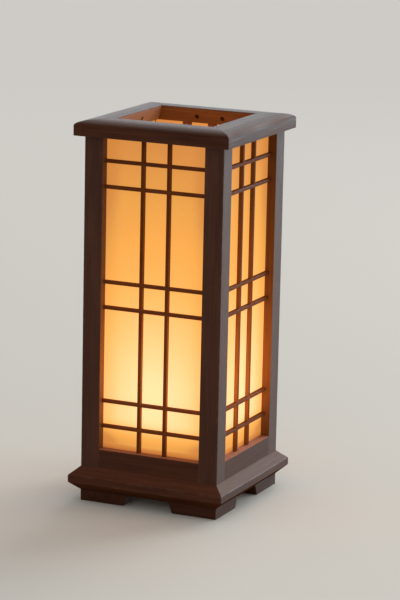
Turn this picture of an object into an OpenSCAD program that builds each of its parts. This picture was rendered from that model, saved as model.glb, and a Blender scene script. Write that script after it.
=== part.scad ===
// Shoji table lamp: a square wooden lantern on bracket feet, glazed with paper behind a thin
// lattice, with an open moulded cap and a small screw-base bulb standing on a deck inside.
// Millimetres, +Z up. The origin is on the table, under the middle of the lamp, and the side
// called front faces -Y. Each side is drawn once for the front and turned by quarter turns.

/* [Body] */
// Outside width of the square body, over its corner posts
body_w = 120; // [114:1:130]
// Height of the cap's underside above the table
cap_z = 298; // [280:1:320]
// Width of each square corner post
post_w = 16; // [15:0.5:18]
// Height of the bottom rails
rail_h = 35.3; // [32:0.1:42]
// Thickness of the bottom rails
rail_t = 14; // [13:0.5:15]
// Thickness of the tenons at the ends of the bottom rails
rail_tenon_t = 5.6; // [5:0.1:6]
// Wood left above and below the bottom rails' tenons
rail_shoulder = 5; // [4:0.5:7]
// Gap between the ends of two rails' tenons inside a post
tenon_gap = 1; // [0.5:0.1:1.5]
// Height of the tenon on top of each post
post_tenon_h = 7; // [5:0.5:9]

/* [Feet] */
// Height of the bracket feet
foot_h = 9; // [7:0.5:14]
// Length of each foot along the body, at its top
foot_l = 42; // [36:1:46]
// How much shorter each foot is at the table than at its top
foot_slant = 3.7; // [1:0.1:6]
// Thickness of the two arms of each foot
foot_t = 16; // [12:0.5:18]

/* [Base moulding] */
// How far the moulding's nose stands out of the body
moulding_out = 7.8; // [5:0.1:12]
// Height of the moulding
moulding_h = 19.6; // [17:0.1:24]
// Height of the bevel below the nose
under_bevel_h = 6.9; // [4:0.1:8]
// Height of the bevel above the nose
over_bevel_h = 6.9; // [4:0.1:8]

/* [Cap] */
// How far the cap stands out of the body
cap_out = 6.8; // [4:0.1:12]
// Width of the cap's rails
cap_rail_w = 25.4; // [24:0.1:28]
// Thickness of the cap
cap_t = 12.7; // [12:0.1:16]
// Depth of the rounding on the cap's top edge, measured inwards
cap_round_in = 16.5; // [8:0.5:18]
// Height of the rounding on the cap's top edge
cap_round_h = 4.5; // [2:0.1:6]
// How far the cap's inner faces lean back from their top to the cap's underside
cap_lean = 5.6; // [3:0.1:7]

/* [Lattice] */
// Width of the upright bars
upright_w = 3; // [2.6:0.1:4]
// Height of the level bars
bar_h = 2.8; // [2:0.1:4]
// Depth of all the bars, from front to back
bar_d = 3.4; // [2.8:0.1:5]
// Distance of each upright bar from the middle of its side
upright_x = 11.25; // [8:0.25:16]
// Distance between the two level bars of a pair
pair_pitch = 20.7; // [14:0.1:28]
// Distance from the bottom rail's top to the middle of the lowest bar
bar_foot_gap = 18.7; // [12:0.1:26]
// Distance from the middle of the highest bar to the cap's underside
bar_head_gap = 19.6; // [12:0.1:26]
// Length of the level bars' tenons in the posts
bar_tenon = 3; // [2:0.1:4]
// Length of the upright bars' tenons in the bottom rail and the cap
upright_tenon = 8; // [7:0.1:9]

/* [Paper] */
// Depth of the paper's face behind the body's face
paper_recess = 7.6; // [7:0.1:8]
// Thickness of the paper panels
paper_t = 1; // [0.6:0.1:1.4]
// Depth of the grooves that hold the paper's foot
foot_groove = 3; // [2:0.1:3.5]
// Depth of the grooves that hold the paper's head in the cap
head_groove = 2; // [1:0.1:3]

/* [Pins and stops] */
// Height of the lattice pins above the cap's underside
pin_rise = 5.3; // [5:0.1:5.6]
// Radius of the pins' heads
pin_head_r = 1.9; // [1.2:0.1:2.2]
// Thickness of the pins' heads
pin_head_t = 1; // [0.6:0.1:1.5]
// Radius of the pins' shanks
pin_r = 0.6; // [0.4:0.1:0.8]
// How far the pins run on past the lattice's face
pin_over = 2; // [1:0.5:4]
// Width of the wooden stops behind the head of the paper
stop_w = 6.5; // [5:0.5:10]
// How far the stops hang below the cap's underside
stop_drop = 4; // [2:0.5:8]
// Distance of each stop to one side of its pin
stop_shift = 10.6; // [9:0.1:12]

/* [Deck] */
// Height of the deck's top above the table
deck_z = 26; // [24:0.5:30]
// Thickness of the deck
deck_t = 6; // [4:0.5:7]
// Height of the cleats under the deck
cleat_h = 8; // [6:0.5:9]
// How far the cleats reach in under the deck's edge
cleat_seat = 6; // [5.5:0.5:9]
// Radius of the screws' heads in the deck
deck_head_r = 2.5; // [2:0.1:2.6]
// Radius of the screws' shanks in the deck
deck_screw_r = 1.4; // [1:0.1:1.6]
// Length of the deck screws
deck_screw_l = 11; // [9:0.5:11]
// Radius of the screws' heads under the feet
foot_head_r = 3.5; // [3:0.1:4]
// Radius of the screws' shanks in the feet
foot_screw_r = 1.75; // [1.5:0.05:2]
// Length of the foot screws
foot_screw_l = 32; // [24:1:36]
// How deep the foot screws' heads lie above the table
foot_head_sunk = 1; // [0.5:0.1:2]
// Width of the slot in the foot screws' heads
slot_w = 0.8; // [0.6:0.1:1.2]
// Depth of the slot in the foot screws' heads
slot_d = 0.8; // [0.4:0.1:1]

/* [Cord inlet] */
// Outer radius of the threaded nipple
nipple_r = 5; // [4.8:0.1:5.2]
// Bore radius of the threaded nipple
nipple_bore_r = 3.8; // [3.6:0.1:4]
// Length of the nipple below the deck
nipple_drop = 7; // [6:0.5:8]
// Length of the nipple inside the lampholder
nipple_rise = 8; // [6:0.5:9]
// Thickness of the nipple's nut
nut_t = 3; // [2:0.5:4]
// Width of the nipple's nut across its flats
nut_af = 14; // [13:0.5:17]
// Bore radius of the cord bushing
cord_r = 3.25; // [2.5:0.05:3.3]
// Radius of the cord bushing's flange
bushing_flange_r = 5.6; // [5.2:0.1:7]
// Thickness of the cord bushing's flange
bushing_flange_t = 1.5; // [1:0.1:2]
// Length of the cord bushing inside the nipple
bushing_l = 8; // [5:0.5:12]

/* [Lampholder] */
// Outer radius of the lampholder
holder_r = 13.5; // [12:0.5:15]
// Radius of the lampholder's foot
holder_foot_r = 16; // [15:0.5:19]
// Height of the lampholder's foot
holder_foot_h = 5; // [3:0.5:8]
// Height of the lampholder
holder_h = 36; // [34:0.5:40]
// Height of the socket's floor above the lampholder's foot
socket_floor = 12; // [11:0.5:13]
// Wall of the screw shell
shell_t = 0.6; // [0.4:0.1:0.8]
// How far the screw shell's rim lies below the lampholder's rim
shell_sunk = 1; // [0.5:0.1:3]
// Radius of the centre contact
contact_r = 3; // [2:0.1:4]
// Thickness of the centre contact's washer
washer_t = 1; // [0.5:0.1:1.5]
// Bevel on the lampholder's edges
holder_bevel = 1; // [0.5:0.1:2]

/* [Bulb] */
// Radius over the bulb's screw thread
thread_r = 6.945; // [6.5:0.005:7.2]
// Depth of the thread's valleys
thread_d = 0.6; // [0.3:0.1:0.8]
// Pitch of the thread
thread_pitch = 2.82; // [2.5:0.01:3.2]
// Turns of thread on the screw cap
thread_turns = 6; // [5:1:6]
// Height of the screw cap's bare neck above the thread
neck_h = 1.2; // [0.5:0.1:3]
// Height of the bulb's insulator
insulator_h = 3.6; // [2:0.1:5]
// Height of the bulb's end contact
bulb_contact_h = 1.3; // [0.8:0.1:2]
// Radius of the bulb's end contact
bulb_contact_r = 2.4; // [1.5:0.1:2.8]
// Width of the bare glass round the bulb's end contact
insulator_rim = 1; // [0.5:0.1:1.5]
// How far the insulator lies inside the screw cap's root
insulator_inset = 0.2; // [0.1:0.1:0.6]
// Height of the contact point above the socket's floor
contact_h = 6; // [4:0.5:8]
// Radius of the bulb's globe
globe_r = 22.5; // [20:0.5:25]
// Wall of the globe
globe_t = 1; // [0.6:0.1:1.6]
// Radius of the bulb's housing at its foot
housing_r = 9.5; // [8.5:0.5:12]
// Height of the housing's straight foot
housing_foot_h = 4; // [2:0.5:6]
// Height of the housing's flare, from its foot up to the globe's cut
housing_flare_h = 17; // [14:0.5:20]
// Depth of the globe's cut below the globe's middle
globe_cut = 9; // [6:0.5:12]

/* [Fits] */
// Clearance round each tenon, bar end and panel edge
joint_fit = 0.1; // [0.05:0.01:0.2]
// Clearance round pins and screws
pin_fit = 0.05; // [0.03:0.01:0.1]
// Clearance round the deck and the nipple
deck_fit = 0.2; // [0.1:0.05:0.4]
// Clearance between turned sleeves, and round the bulb's thread
turn_fit = 0.055; // [0.03:0.005:0.1]
// Clearance between the centre contact's washer and the screw shell
washer_gap = 1; // [0.5:0.1:1.5]
// Gap left between the bulb's end contact and the centre contact
seat_gap = 0.2; // [0.1:0.05:0.4]

/* [Hidden] */

// Roundness of the turned pieces
turned_fn = 64;
// Roundness of the pins and screws
small_fn = 24;
// Steps in the cap's rounded edge
round_steps = 10;
// Steps in the flare of the bulb's housing
flare_steps = 8;
// Sides of the nipple's nut
nut_sides = 6;
// Overlap given to a cutter, so that it leaves no skin
skin = 1;
// Reach of the cutters that have no natural end
far = 400;

// Distances from the lamp's middle to the planes of a side
face_y = body_w / 2;
post_in = face_y - post_w;
post_mid = face_y - post_w / 2;
paper_face = face_y - paper_recess;
paper_back = paper_face - paper_t;
bar_face = paper_face + bar_d;
rail_in = face_y - rail_t;
rail_mid = face_y - rail_t / 2;
cap_in = face_y + cap_out - cap_rail_w;
cap_in_low = cap_in + cap_lean;
pin_y = cap_in_low - cap_lean * pin_rise / cap_t;
cap_edge = face_y + cap_out;

// Levels above the table
rail_top = foot_h + rail_h;
cap_top = cap_z + cap_t;
pin_z = cap_z + pin_rise;
deck_under = deck_z - deck_t;
low_bar_z = rail_top + bar_foot_gap;
high_bar_z = cap_z - bar_head_gap - pair_pitch;
mid_bar_z = (low_bar_z + high_bar_z) / 2;
bar_levels = [for (pair = [low_bar_z, mid_bar_z, high_bar_z], step = [0, pair_pitch]) pair + step];

// The rails' tenons stop short of each other inside a post
rail_tenon_end = rail_mid - rail_tenon_t / 2 - tenon_gap;
// A post's tenon is a square in the middle of the wood in front of the paper
post_tenon_mid = (face_y + paper_face) / 2;
post_tenon_w = (face_y - paper_face) * 2 / 3;

// Levels and radii of the lampholder and the bulb
floor_z = deck_z + socket_floor;
contact_top = floor_z + contact_h;
bulb_z = contact_top + seat_gap;
insulator_z = bulb_z + bulb_contact_h;
thread_z = insulator_z + insulator_h;
neck_z = thread_z + thread_turns * thread_pitch;
housing_z = neck_z + neck_h;
flare_z = housing_z + housing_foot_h;
cut_z = flare_z + housing_flare_h;
globe_z = cut_z + globe_cut;
cut_r = sqrt(pow(globe_r, 2) - pow(globe_cut, 2));
shell_in_r = thread_r + turn_fit;
shell_out_r = shell_in_r + shell_t;
root_r = thread_r - thread_d;

// Puts its children on one of the four sides: 0 front, 1 right, 2 back, 3 left
module on_side(side) {
    rotate([0, 0, 90 * side]) children();
}

// A box given by its low and high corners
module block(low, high) {
    translate(low) cube(high - low);
}

// The quarter of the plan that belongs to the front side, so that its ends are mitred
module front_quarter(low, high) {
    translate([0, 0, low]) linear_extrude(height = high - low)
        polygon([[0, 0], [far, -far], [-far, -far]]);
}

// A strip of moulding along the front: its profile is drawn as [distance from the middle, height]
module front_strip(profile) {
    rotate([90, 0, 90]) translate([0, 0, -far / 2]) linear_extrude(height = far)
        polygon([for (p = profile) [-p[0], p[1]]]);
}

// A wood screw or pin with its head down at the origin, pointing up, with a flat cone under its head
module screw(head_r, shank_r, length, grow = 0) {
    cylinder(r1 = head_r + grow, r2 = shank_r + grow, h = head_r - shank_r, $fn = small_fn);
    cylinder(r = shank_r + grow, h = length + grow, $fn = small_fn);
}

// Foot: an L of two arms, with their free ends cut at a slant
module foot_arm() {
    rotate([90, 0, 0]) translate([0, 0, face_y - foot_t]) linear_extrude(height = foot_t)
        polygon([[face_y, 0], [face_y, foot_h], [face_y - foot_l, foot_h],
                 [face_y - foot_l + foot_slant, 0]]);
}

module foot(side) {
    color("#3f2a24") on_side(side) difference() {
        union() {
            foot_arm();
            mirror([1, 1, 0]) foot_arm();
        }
        foot_screw(pin_fit);
        translate([post_mid, -post_mid, -skin])
            cylinder(r = foot_head_r + pin_fit, h = skin + foot_head_sunk, $fn = small_fn);
    }
}

// The screw that runs up through the front right foot into its post
module foot_screw(grow = 0) {
    translate([post_mid, -post_mid, foot_head_sunk])
        screw(foot_head_r, foot_screw_r, foot_screw_l, grow);
}

// Post at the front right corner: square beside the rails, and above them an angle that the
// paper of the front and the right sides lies against
module post(side) {
    inner = paper_face + joint_fit;
    color("#43291f") on_side(side) difference() {
        union() {
            difference() {
                block([post_in, -face_y, foot_h], [face_y, -post_in, cap_z]);
                block([post_in - skin, -inner, rail_top], [inner, -post_in + skin, cap_z + skin]);
            }
            post_tenon();
        }
        post_cuts();
        mirror([1, 1, 0]) post_cuts();
        foot_screw(pin_fit);
    }
}

// Tenon on top of the front right post, grown by a clearance for its mortise
module post_tenon(grow = 0) {
    half = post_tenon_w / 2 + grow;
    translate([post_tenon_mid, -post_tenon_mid, cap_z - grow])
        translate([-half, -half, 0]) cube([2 * half, 2 * half, post_tenon_h + 2 * grow]);
}

module post_cuts() {
    paper_sheet(joint_fit);
    rail_tenon(joint_fit);
    for (z = bar_levels) level_bar(z, joint_fit);
}

// Bottom rail with its two tenons, grooved for the paper and mortised for the upright bars
module bottom_rail(side) {
    color("#43291f") on_side(side) difference() {
        union() {
            block([-post_in, -face_y, foot_h], [post_in, -rail_in, rail_top]);
            rail_tenon();
        }
        paper_sheet(joint_fit);
        upright_bars(joint_fit);
    }
}

// The front rail's tenons, drawn as one bar from end to end
module rail_tenon(grow = 0) {
    half_t = rail_tenon_t / 2 + grow;
    block([-rail_tenon_end - grow, -rail_mid - half_t, foot_h + rail_shoulder - grow],
          [rail_tenon_end + grow, -rail_mid + half_t, rail_top - rail_shoulder + grow]);
}

// Base moulding, applied to the front of the body, with mitred ends
module base_moulding(side) {
    top = foot_h + moulding_h;
    nose = face_y + moulding_out;
    color("#4a2f27") on_side(side) intersection() {
        front_strip([[face_y, foot_h], [nose, foot_h + under_bevel_h],
                     [nose, top - over_bevel_h], [face_y, top]]);
        front_quarter(0, cap_z);
    }
}

// Cap rail: rounded on its top outer edge, with a leaning inner face and mitred ends
module cap_rail(side) {
    rounding = [for (i = [0 : round_steps]) let (a = 90 * i / round_steps)
        [cap_edge - cap_round_in * (1 - cos(a)), cap_top - cap_round_h * (1 - sin(a))]];
    color("#5a4038") on_side(side) difference() {
        intersection() {
            front_strip(concat([[cap_in_low, cap_z], [cap_edge, cap_z]], rounding, [[cap_in, cap_top]]));
            front_quarter(cap_z - skin, cap_top + skin);
        }
        paper_sheet(joint_fit);
        upright_bars(joint_fit);
        post_tenon(joint_fit);
        mirror([1, 0, 0]) post_tenon(joint_fit);
        side_pins(pin_fit, skin);
    }
}

// Paper panel of the front side, as wide as the room behind the posts
module paper_sheet(grow = 0) {
    half_w = paper_back - joint_fit;
    block([-half_w - grow, -paper_face - grow, rail_top - foot_groove + joint_fit - grow],
          [half_w + grow, -paper_back + grow, cap_z + head_groove - joint_fit + grow]);
}

module paper_panel(side) {
    color("#ffd79a") on_side(side) paper_sheet();
}

// One level bar of the front side, from post to post
module level_bar(z, grow = 0) {
    half_w = post_in + bar_tenon;
    block([-half_w - grow, -bar_face - grow, z - bar_h / 2 - grow],
          [half_w + grow, -paper_face + grow, z + bar_h / 2 + grow]);
}

// The front side's two upright bars, from the bottom rail to the cap
module upright_bars(grow = 0) {
    for (x = [-upright_x, upright_x])
        block([x - upright_w / 2 - grow, -bar_face - grow, rail_top - upright_tenon - grow],
              [x + upright_w / 2 + grow, -paper_face + grow, cap_z + upright_tenon + grow]);
}

// Upright bars, halved at the front where the level bars cross them
module lattice_uprights(side) {
    lap = (paper_face + bar_face) / 2;
    color("#2e1a12") on_side(side) difference() {
        upright_bars();
        for (z = bar_levels)
            block([-far, -bar_face - skin, z - bar_h / 2 - joint_fit],
                  [far, -lap, z + bar_h / 2 + joint_fit]);
        side_pins(pin_fit);
    }
}

// A pair of level bars, halved at the back where they cross the uprights
module lattice_bars(side, low_z) {
    lap = (paper_face + bar_face) / 2;
    half = upright_w / 2 + joint_fit;
    color("#2e1a12") on_side(side) difference() {
        for (z = [low_z, low_z + pair_pitch]) level_bar(z);
        for (x = [-upright_x, upright_x])
            block([x - half, -lap, low_z - far], [x + half, -paper_face + skin, low_z + far]);
    }
}

// The front side's two pins, driven level from the cap's inner face through the uprights' tenons.
// Their recesses are clear in front of the heads, because the face leans over them.
module side_pins(grow = 0, clear = 0) {
    for (x = [-upright_x, upright_x])
        translate([x, -pin_y, pin_z]) rotate([90, 0, 0]) {
            translate([0, 0, -grow - clear])
                cylinder(r = pin_head_r + grow, h = pin_head_t + 2 * grow + clear, $fn = small_fn);
            cylinder(r = pin_r + grow, h = bar_face - pin_y + pin_over + grow, $fn = small_fn);
        }
}

module lattice_pins() {
    color("#2a150c") for (side = [0 : 3]) on_side(side) side_pins();
}

// Stops: small blocks glued under the cap beside each pin, behind the head of the paper
module paper_stops() {
    color("#6a4030") for (side = [0 : 3]) on_side(side)
        for (x = [-upright_x, upright_x])
            translate([x + stop_shift, 0, 0])
                block([-stop_w / 2, -paper_back + joint_fit, cap_z - stop_drop],
                      [stop_w / 2, -cap_in_low, cap_z]);
}

module foot_screws() {
    color("#b9b4a8") for (side = [0 : 3]) on_side(side) difference() {
        foot_screw();
        translate([post_mid, -post_mid, foot_head_sunk - skin])
            translate([-foot_head_r, -slot_w / 2, 0]) cube([2 * foot_head_r, slot_w, skin + slot_d]);
    }
}

// Deck that carries the lampholder, with a hole for the nipple
module deck_board() {
    half = post_in - deck_fit;
    color("#b08a5c") difference() {
        block([-half, -half, deck_under], [half, half, deck_z]);
        translate([0, 0, deck_under - skin])
            cylinder(r = nipple_r + deck_fit, h = deck_t + 2 * skin, $fn = turned_fn);
        for (side = [0 : 3]) on_side(side) deck_screw_hole();
    }
}

// Cleats glued to the rails' inner faces: the side ones fit between the front and back ones
module deck_cleats() {
    low = deck_under - cleat_h;
    inner = post_in - cleat_seat;
    color("#8a6a45") difference() {
        for (side = [0 : 3]) on_side(side) {
            half = side % 2 == 0 ? post_in - joint_fit : inner - joint_fit;
            block([-half, -rail_in, low], [half, -inner, deck_under]);
        }
        for (side = [0 : 3]) on_side(side) deck_screw_hole();
    }
}

// The front side's deck screw, with its head flush in the deck
module deck_screw(grow = 0) {
    translate([0, -post_in + cleat_seat / 2, deck_z]) mirror([0, 0, 1])
        screw(deck_head_r, deck_screw_r, deck_screw_l, grow);
}

// Hole for the front side's deck screw, open at the deck's top
module deck_screw_hole() {
    deck_screw(pin_fit);
    translate([0, -post_in + cleat_seat / 2, deck_z])
        cylinder(r = deck_head_r + pin_fit, h = skin, $fn = small_fn);
}

module deck_screws() {
    color("#b9b4a8") for (side = [0 : 3]) on_side(side) deck_screw();
}

// A tube round the lamp's axis
module tube(out_r, in_r, low, high) {
    translate([0, 0, low]) difference() {
        cylinder(r = out_r, h = high - low, $fn = turned_fn);
        translate([0, 0, -skin]) cylinder(r = in_r, h = high - low + 2 * skin, $fn = turned_fn);
    }
}

module threaded_nipple() {
    color("#c8a24a") tube(nipple_r, nipple_bore_r, deck_under - nipple_drop, deck_z + nipple_rise);
}

module nipple_nut() {
    color("#c8a24a") translate([0, 0, deck_under - nut_t]) difference() {
        cylinder(r = nut_af / 2 / cos(180 / nut_sides), h = nut_t, $fn = nut_sides);
        translate([0, 0, -skin]) cylinder(r = nipple_r + turn_fit, h = nut_t + 2 * skin, $fn = turned_fn);
    }
}

module cord_bushing() {
    low = deck_under - nipple_drop;
    color("#222222") difference() {
        union() {
            translate([0, 0, low - bushing_flange_t])
                cylinder(r = bushing_flange_r, h = bushing_flange_t, $fn = turned_fn);
            translate([0, 0, low]) cylinder(r = nipple_bore_r - turn_fit, h = bushing_l, $fn = turned_fn);
        }
        translate([0, 0, low - bushing_flange_t - skin])
            cylinder(r = cord_r, h = bushing_l + bushing_flange_t + 2 * skin, $fn = turned_fn);
    }
}

// Lampholder: a turned cup with a foot, bored for the nipple from below and for the shell from above
module lampholder_body() {
    nipple_hole = nipple_r + turn_fit;
    socket = shell_out_r + turn_fit;
    top = deck_z + holder_h;
    nipple_end = deck_z + nipple_rise;
    color("#1d1d1d") rotate_extrude($fn = turned_fn)
        polygon([[nipple_hole, deck_z], [holder_foot_r, deck_z], [holder_foot_r, deck_z + holder_foot_h],
                 [holder_r, deck_z + holder_foot_h + holder_bevel], [holder_r, top - holder_bevel],
                 [holder_r - holder_bevel, top],
                 [socket, top], [socket, floor_z], [nipple_bore_r, floor_z],
                 [nipple_bore_r, nipple_end], [nipple_hole, nipple_end]]);
}

// Screw shell: a plain sleeve that stands for the threaded one
module lampholder_shell() {
    color("#c9b27a") tube(shell_out_r, shell_in_r, floor_z, deck_z + holder_h - shell_sunk);
}

// Centre contact: a brass stud on a washer that closes the socket's floor
module lampholder_contact() {
    color("#c8a24a") translate([0, 0, floor_z]) {
        cylinder(r = shell_in_r - washer_gap, h = washer_t, $fn = turned_fn);
        cylinder(r = contact_r, h = contact_h, $fn = turned_fn);
    }
}

// Screw cap of the bulb, its thread drawn as rings that clear the plain screw shell
module bulb_screw_cap() {
    flank = thread_pitch / 4;
    rings = [for (i = [0 : thread_turns - 1]) let (z = thread_z + i * thread_pitch)
        each [[root_r, z], [root_r, z + flank], [thread_r, z + 2 * flank], [root_r, z + 3 * flank]]];
    color("#c2c0b8") rotate_extrude($fn = turned_fn)
        polygon(concat([[0, thread_z]], rings, [[root_r, neck_z], [root_r, housing_z], [0, housing_z]]));
}

module bulb_insulator() {
    color("#151515") translate([0, 0, insulator_z])
        cylinder(r1 = bulb_contact_r + insulator_rim, r2 = root_r - insulator_inset, h = insulator_h,
            $fn = turned_fn);
}

module bulb_contact() {
    color("#b9b4a8") translate([0, 0, bulb_z])
        cylinder(r = bulb_contact_r, h = bulb_contact_h, $fn = turned_fn);
}

// Housing: a straight foot and a flare that curves out to the globe's cut
module bulb_housing() {
    flare = [for (i = [0 : flare_steps]) let (a = 90 * i / flare_steps)
        [housing_r + (cut_r - housing_r) * sin(a), flare_z + housing_flare_h * (1 - cos(a))]];
    color("#f2f0ea") rotate_extrude($fn = turned_fn)
        polygon(concat([[0, housing_z], [housing_r, housing_z]], flare, [[0, cut_z]]));
}

// Globe: a hollow ball, cut off flat where it stands on the housing
module bulb_globe() {
    color("#fff3d6") translate([0, 0, globe_z]) difference() {
        sphere(r = globe_r, $fn = turned_fn);
        sphere(r = globe_r - globe_t, $fn = turned_fn);
        translate([0, 0, -globe_cut - far]) cylinder(r = 2 * globe_r, h = far, $fn = turned_fn);
    }
}

foot(0);  // foot_front_right
foot(1);  // foot_back_right
foot(2);  // foot_back_left
foot(3);  // foot_front_left
post(0);  // post_front_right
post(1);  // post_back_right
post(2);  // post_back_left
post(3);  // post_front_left
bottom_rail(0);  // bottom_rail_front
bottom_rail(1);  // bottom_rail_right
bottom_rail(2);  // bottom_rail_back
bottom_rail(3);  // bottom_rail_left
base_moulding(0);  // base_moulding_front
base_moulding(1);  // base_moulding_right
base_moulding(2);  // base_moulding_back
base_moulding(3);  // base_moulding_left
cap_rail(0);  // cap_rail_front
cap_rail(1);  // cap_rail_right
cap_rail(2);  // cap_rail_back
cap_rail(3);  // cap_rail_left
paper_panel(0);  // paper_panel_front
paper_panel(1);  // paper_panel_right
paper_panel(2);  // paper_panel_back
paper_panel(3);  // paper_panel_left
lattice_uprights(0);  // lattice_uprights_front
lattice_uprights(1);  // lattice_uprights_right
lattice_uprights(2);  // lattice_uprights_back
lattice_uprights(3);  // lattice_uprights_left
lattice_bars(0, low_bar_z);  // lattice_low_bars_front
lattice_bars(1, low_bar_z);  // lattice_low_bars_right
lattice_bars(2, low_bar_z);  // lattice_low_bars_back
lattice_bars(3, low_bar_z);  // lattice_low_bars_left
lattice_bars(0, mid_bar_z);  // lattice_mid_bars_front
lattice_bars(1, mid_bar_z);  // lattice_mid_bars_right
lattice_bars(2, mid_bar_z);  // lattice_mid_bars_back
lattice_bars(3, mid_bar_z);  // lattice_mid_bars_left
lattice_bars(0, high_bar_z);  // lattice_high_bars_front
lattice_bars(1, high_bar_z);  // lattice_high_bars_right
lattice_bars(2, high_bar_z);  // lattice_high_bars_back
lattice_bars(3, high_bar_z);  // lattice_high_bars_left
lattice_pins();
paper_stops();
foot_screws();
deck_board();
deck_cleats();
deck_screws();
threaded_nipple();
nipple_nut();
cord_bushing();
lampholder_body();
lampholder_shell();
lampholder_contact();
bulb_screw_cap();
bulb_insulator();
bulb_contact();
bulb_housing();
bulb_globe();
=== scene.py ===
# %% [markdown]
# # Dressing a shoji lantern
#
# The lamp is a square wooden lantern: four posts on bracket feet, bottom rails with a beaked
# moulding round them, a mitred cap with an open middle, and paper panels behind a thin lattice.
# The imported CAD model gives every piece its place. This lesson gives each piece its shape and
# finish: softened arrises, fine straight grain, glowing paper, turned brass and a frosted bulb.
# Most pieces are surfaces worked out with numpy, which read their size from the box of the CAD
# node that they stand for. The few with odd cuts and bores are softened copies of the CAD solid.

# %% The frame and its box
import math

import bmesh
import bpy
import numpy as np
from mathutils import Matrix, Vector


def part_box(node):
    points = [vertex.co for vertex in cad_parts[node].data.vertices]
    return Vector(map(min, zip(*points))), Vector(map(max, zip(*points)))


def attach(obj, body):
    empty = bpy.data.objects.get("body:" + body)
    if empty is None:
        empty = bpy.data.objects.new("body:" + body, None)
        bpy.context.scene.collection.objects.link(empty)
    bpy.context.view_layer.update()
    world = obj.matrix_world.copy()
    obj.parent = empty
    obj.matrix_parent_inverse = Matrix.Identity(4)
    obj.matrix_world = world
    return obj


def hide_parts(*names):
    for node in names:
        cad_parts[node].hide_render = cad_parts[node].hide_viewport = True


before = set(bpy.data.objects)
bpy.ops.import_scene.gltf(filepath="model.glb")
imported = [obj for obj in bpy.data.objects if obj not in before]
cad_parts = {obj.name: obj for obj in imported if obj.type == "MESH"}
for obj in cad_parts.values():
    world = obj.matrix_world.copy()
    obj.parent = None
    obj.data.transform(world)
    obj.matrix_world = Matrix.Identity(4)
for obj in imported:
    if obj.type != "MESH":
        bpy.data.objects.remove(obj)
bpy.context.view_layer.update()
link = bpy.context.scene.collection.objects.link
mm = 0.001
SIDES = ["front", "right", "back", "left"]
CORNERS = ["front_right", "back_right", "back_left", "front_left"]


def in_mm(lengths):
    """Lengths as rounded millimetres, to print."""
    return np.round(np.array(lengths, float) / mm, 1).tolist()


# %% [markdown]
# ## The camera
#
# A photo fixes where the camera stood: the edges of the lantern run to vanishing points, and
# their lengths give the distance. The numbers below were fitted to those edges. The camera is
# aimed at a point inside the lantern and then rolled a little about its own view axis, because
# a hand-held camera is never quite level. The sensor's 36 mm lie along the picture's long side.

# %% The camera
camera_at = Vector((0.92960, -2.01750, 0.64172))
camera_target = Vector((0.01258, 0.00570, 0.16089))
camera_roll = 0.0215928
camera_lens = 168.92

camera = bpy.data.objects.new("camera", bpy.data.cameras.new("camera"))
camera.data.lens = camera_lens
camera.data.sensor_width = 36
camera.data.sensor_fit = "AUTO"
camera.location = camera_at
camera.rotation_mode = "QUATERNION"
aim = (camera_target - camera_at).to_track_quat("-Z", "Y")
camera.rotation_quaternion = (aim.to_matrix() @ Matrix.Rotation(camera_roll, 3, "Z")).to_quaternion()
link(camera)
bpy.context.scene.camera = camera
print("camera up:", [round(c, 4) for c in camera.rotation_quaternion @ Vector((0, 1, 0))])

# %% [markdown]
# ## Shared measures
#
# Pieces that meet share a face, and some of the paint begins at such a face too. Those measures
# are read once, from the boxes of the CAD nodes on the front: x runs right, y back and z up. A
# box doesn't tell how a section is shaped inside it, so the few such sizes are written out.

# %% Shared measures
def corners_of(node):
    """The lowest and highest corner of a CAD node in metres, as plain lists."""
    return [list(corner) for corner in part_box(node)]


post_low, post_high = corners_of("post_front_right")
rail_low, rail_high = corners_of("bottom_rail_front")
mould_low, mould_high = corners_of("base_moulding_front")
cap_low, cap_high = corners_of("cap_rail_front")
uprights_low, uprights_high = corners_of("lattice_uprights_front")
paper_low, paper_high = corners_of("paper_panel_front")

post_in, body_face, ledge = post_low[0], post_high[0], rail_high[2]
nose, bevel_h, bevel_top = -mould_low[1], 6.9 * mm, mould_high[2]
cap_edge, cap_in, cap_under, cap_top = -cap_low[1], -cap_high[1], cap_low[2], cap_high[2]
cap_lean = 5.6 * mm
cap_slope = cap_lean / (cap_top - cap_under)
bar_edge, bar_w, bar_h = uprights_high[0], 3 * mm, 2.8 * mm
print("post, ledge, nose and cap opening, mm:", in_mm([body_face - post_in, ledge, nose, 2 * cap_in]))

# %% [markdown]
# ## A small language for finishes
#
# Blender's materials are graphs of nodes. A graph can be wired by hand, but sums of sockets are
# easier to read as sums. `Value` wraps one output socket and overloads Python's operators, so
# `1 - mask * 0.4` adds the Math nodes by itself. Every other node comes from `Graph.node`, which
# sets the node's own settings first and then feeds its sockets. A `Finish` is the graph of one
# material. The world, at the end, is a plain `Graph`.

# %% Value, Graph and Finish
def operator(kind):
    """What an operator does with a value on its left, and with one on its right."""
    return (lambda self, other: self.graph.maths(kind, self, other),
            lambda self, other: self.graph.maths(kind, other, self))


class Value:
    """One output socket of a graph, with Python's operators."""

    def __init__(self, graph, socket):
        self.graph, self.socket = graph, socket

    def __abs__(self):
        return self.graph.maths("ABSOLUTE", self)

    __add__, __radd__ = operator("ADD")
    __sub__, __rsub__ = operator("SUBTRACT")
    __mul__, __rmul__ = operator("MULTIPLY")
    __truediv__, __rtruediv__ = operator("DIVIDE")


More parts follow.
